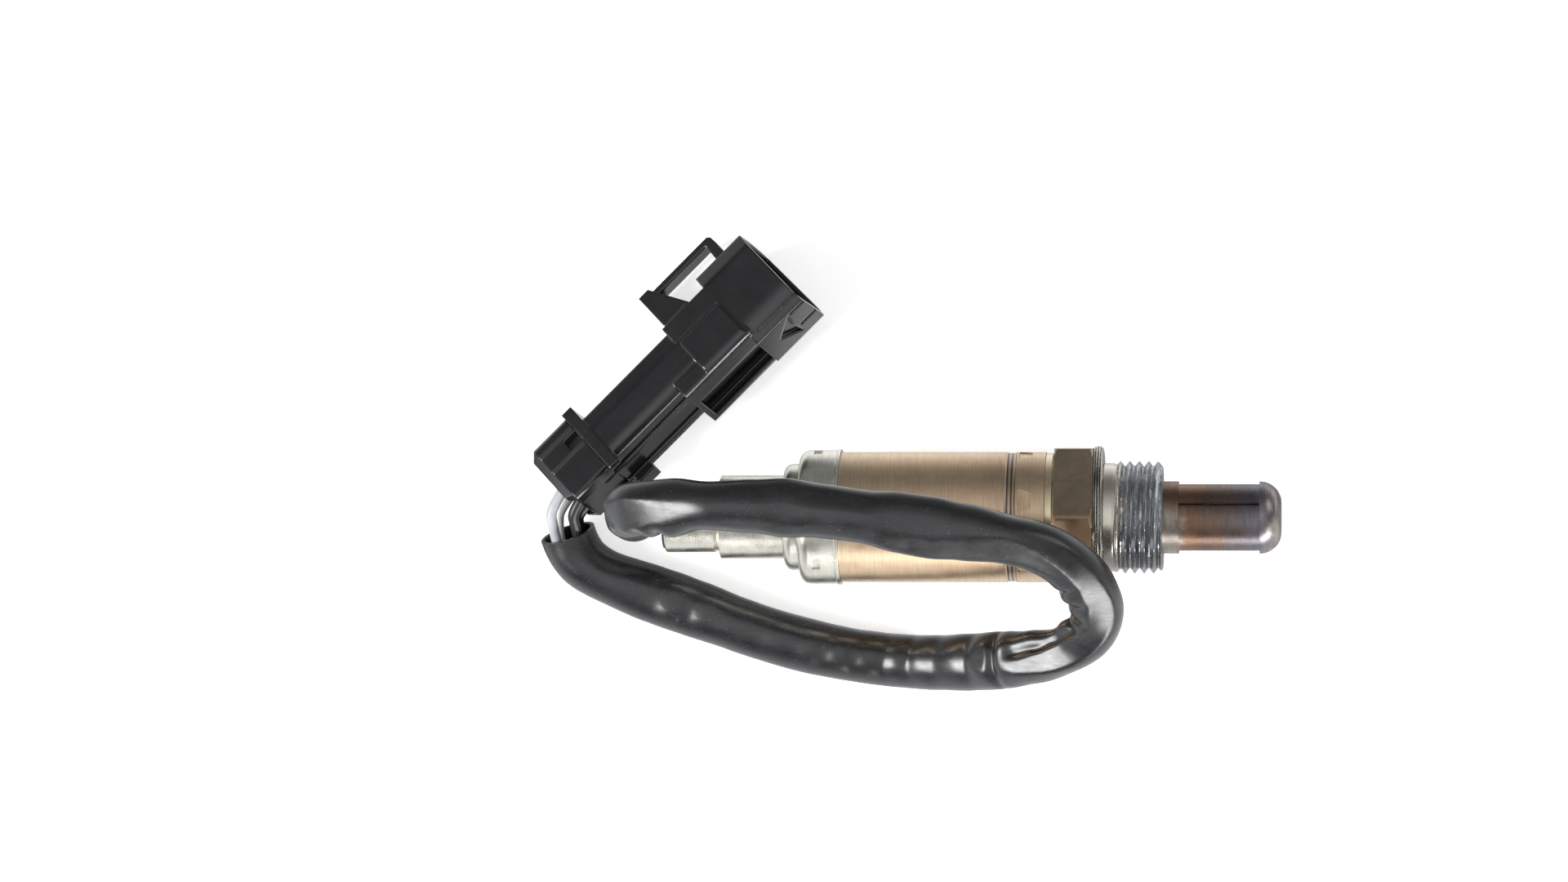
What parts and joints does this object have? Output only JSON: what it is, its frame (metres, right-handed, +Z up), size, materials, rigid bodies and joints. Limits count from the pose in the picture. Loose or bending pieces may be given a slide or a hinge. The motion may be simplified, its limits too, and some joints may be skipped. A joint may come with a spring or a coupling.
{
  "type": "oxygen sensor",
  "caption": "Exhaust oxygen sensor with threaded shell, louvred protection tube, heat-tinted sleeve, sleeved leads looped back over the body and a latching plug",
  "frame": {"origin": "on the sensor's axis at the gasket's sealing face, where the threaded bung ends", "axes": "+X along the sensor's axis towards its sensing tip, +Z up from the surface that it lies on, +Y to the side of the plug"},
  "size_m": [0.12, 0.074, 0.0425],
  "materials": {
    "shell_steel": "dulled",
    "gasket_steel": "satin",
    "tube_steel": "heat tinted",
    "tinted_steel": "heat tinted",
    "bright_steel": "satin",
    "spring_steel": "satin",
    "contact_metal": "satin",
    "terminal_metal": "tinned",
    "zirconia": "matte",
    "ceramic_white": "matte",
    "powder": "pressed powder",
    "grommet_rubber": "matte",
    "seal_rubber": "matte",
    "plug_plastic": "satin",
    "sleeve_plastic": "satin",
    "lead_black": "satin",
    "lead_grey": "satin",
    "lead_white": "satin"
  },
  "bodies": {
    "root": {"sensor_shell": "shell_steel", "gasket_ring": "gasket_steel", "protection_tube": "tube_steel", "zirconia_element": "zirconia", "heater_rod": "ceramic_white", "element_seal_ring": "spring_steel", "seal_powder_ring": "powder", "ceramic_bush": "ceramic_white", "contact_holder": "ceramic_white", "disc_spring": "spring_steel", "signal_contact": "contact_metal", "ground_contact": "contact_metal", "heater_contact_1": "contact_metal", "heater_contact_2": "contact_metal", "ferrule_black_1": "contact_metal", "ferrule_white": "contact_metal", "ferrule_grey": "contact_metal", "ferrule_black_2": "contact_metal", "outer_sleeve": "tinted_steel", "rear_sleeve": "bright_steel", "grommet": "grommet_rubber", "cable_sleeve": "sleeve_plastic", "wire_black_1": "lead_black", "wire_white": "lead_white", "wire_grey": "lead_grey", "wire_black_2": "lead_black", "connector_housing": "plug_plastic", "connector_rear_cap": "plug_plastic", "terminal_1": "terminal_metal", "terminal_2": "terminal_metal", "terminal_3": "terminal_metal", "terminal_4": "terminal_metal", "wire_seal_1": "seal_rubber", "wire_seal_2": "seal_rubber", "wire_seal_3": "seal_rubber", "wire_seal_4": "seal_rubber"}
  },
  "joints": []
}
